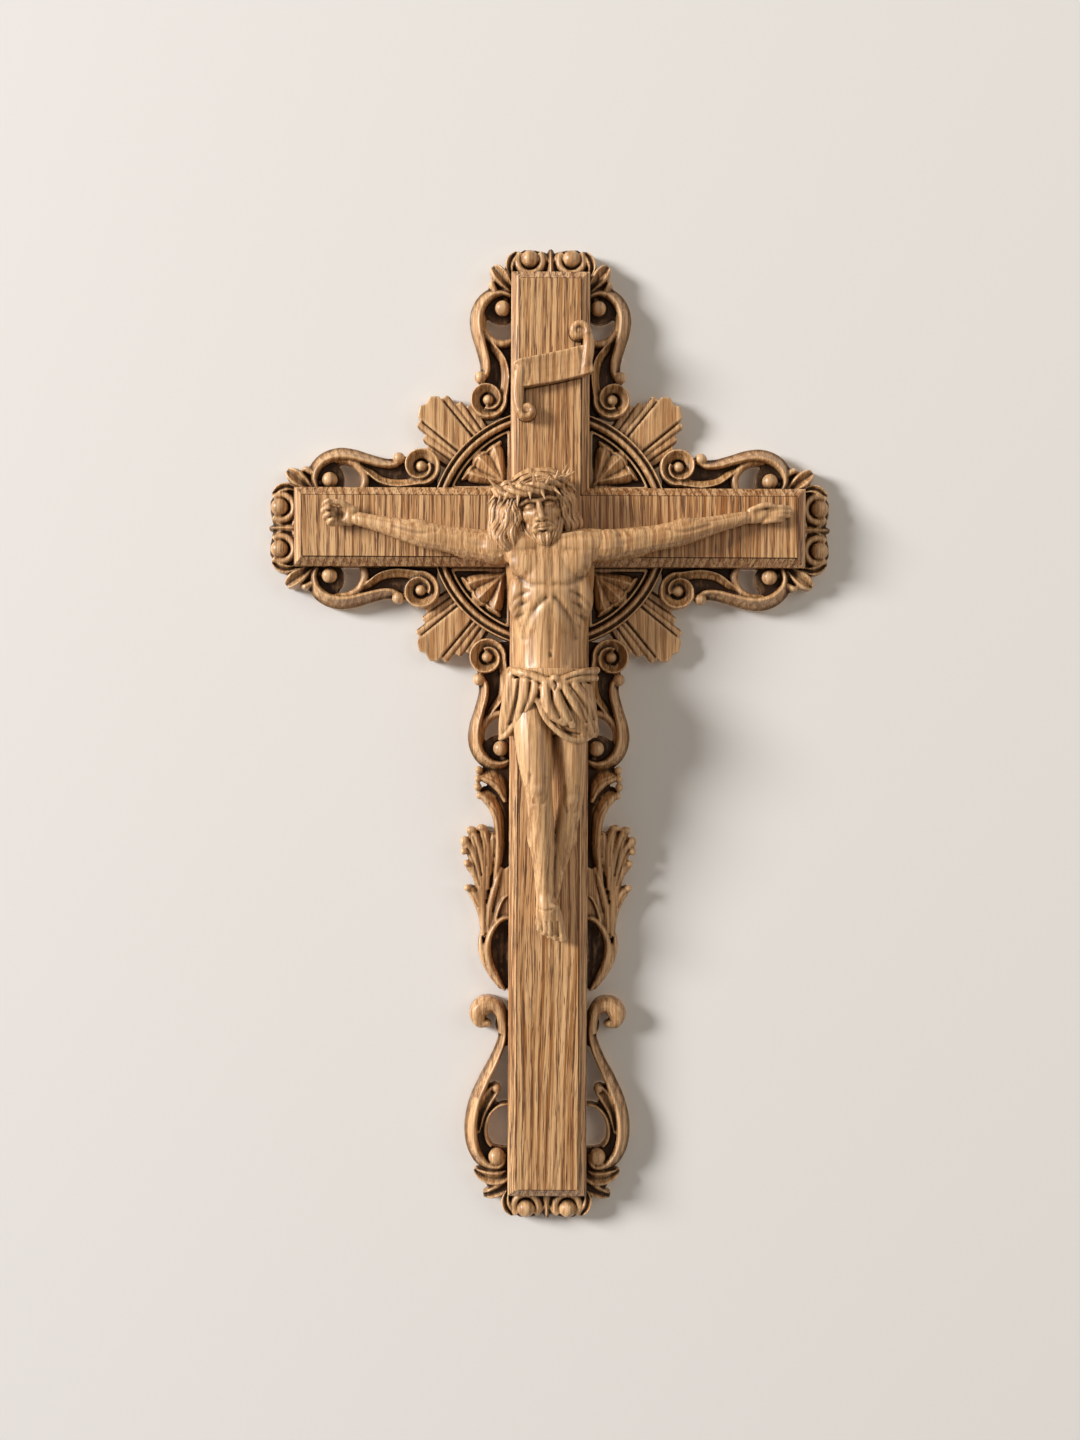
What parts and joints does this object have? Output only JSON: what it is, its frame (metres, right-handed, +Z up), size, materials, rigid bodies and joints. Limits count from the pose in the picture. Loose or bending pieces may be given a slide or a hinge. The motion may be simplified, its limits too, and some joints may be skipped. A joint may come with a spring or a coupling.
{
  "type": "wall crucifix",
  "caption": "Carved wooden wall crucifix: a bevelled cross with scrolled openwork edges, a ring with rays at the crossing, a carved figure and a keyhole hanger in the back.",
  "frame": {"origin": "on the back plane of the cross, at the middle of the crossing", "axes": "+Z up the post, -Y out of the wall towards the viewer, +X to the viewer's right"},
  "size_m": [0.232, 0.0409, 0.4],
  "materials": {
    "carved_oak": "satin",
    "dowel_wood": "matte",
    "hanger_steel": "satin"
  },
  "bodies": {
    "root": {"upright": "carved_oak", "crossbeam": "carved_oak", "top_crest": "carved_oak", "left_crest": "carved_oak", "right_crest": "carved_oak", "foot_crest": "carved_oak", "top_scroll_left": "carved_oak", "top_scroll_right": "carved_oak", "left_scroll_upper": "carved_oak", "left_scroll_lower": "carved_oak", "right_scroll_upper": "carved_oak", "right_scroll_lower": "carved_oak", "shaft_scroll_left": "carved_oak", "shaft_scroll_right": "carved_oak", "acanthus_left": "carved_oak", "acanthus_right": "carved_oak", "lyre_scroll_left": "carved_oak", "lyre_scroll_right": "carved_oak", "ring_panel_upper_left": "carved_oak", "ring_panel_upper_right": "carved_oak", "ring_panel_lower_left": "carved_oak", "ring_panel_lower_right": "carved_oak", "rays_upper_left": "carved_oak", "rays_upper_right": "carved_oak", "rays_lower_left": "carved_oak", "rays_lower_right": "carved_oak", "title_scroll": "carved_oak", "corpus_body": "carved_oak", "corpus_head": "carved_oak", "crown_of_thorns": "carved_oak", "left_arm": "carved_oak", "right_arm": "carved_oak", "loincloth": "carved_oak", "scroll_dowels": "dowel_wood", "crest_dowels": "dowel_wood", "panel_dowels": "dowel_wood", "leaf_dowels": "dowel_wood", "corpus_dowels": "dowel_wood", "arm_dowels": "dowel_wood", "hanger_plate": "hanger_steel", "hanger_screws": "hanger_steel"}
  },
  "joints": []
}
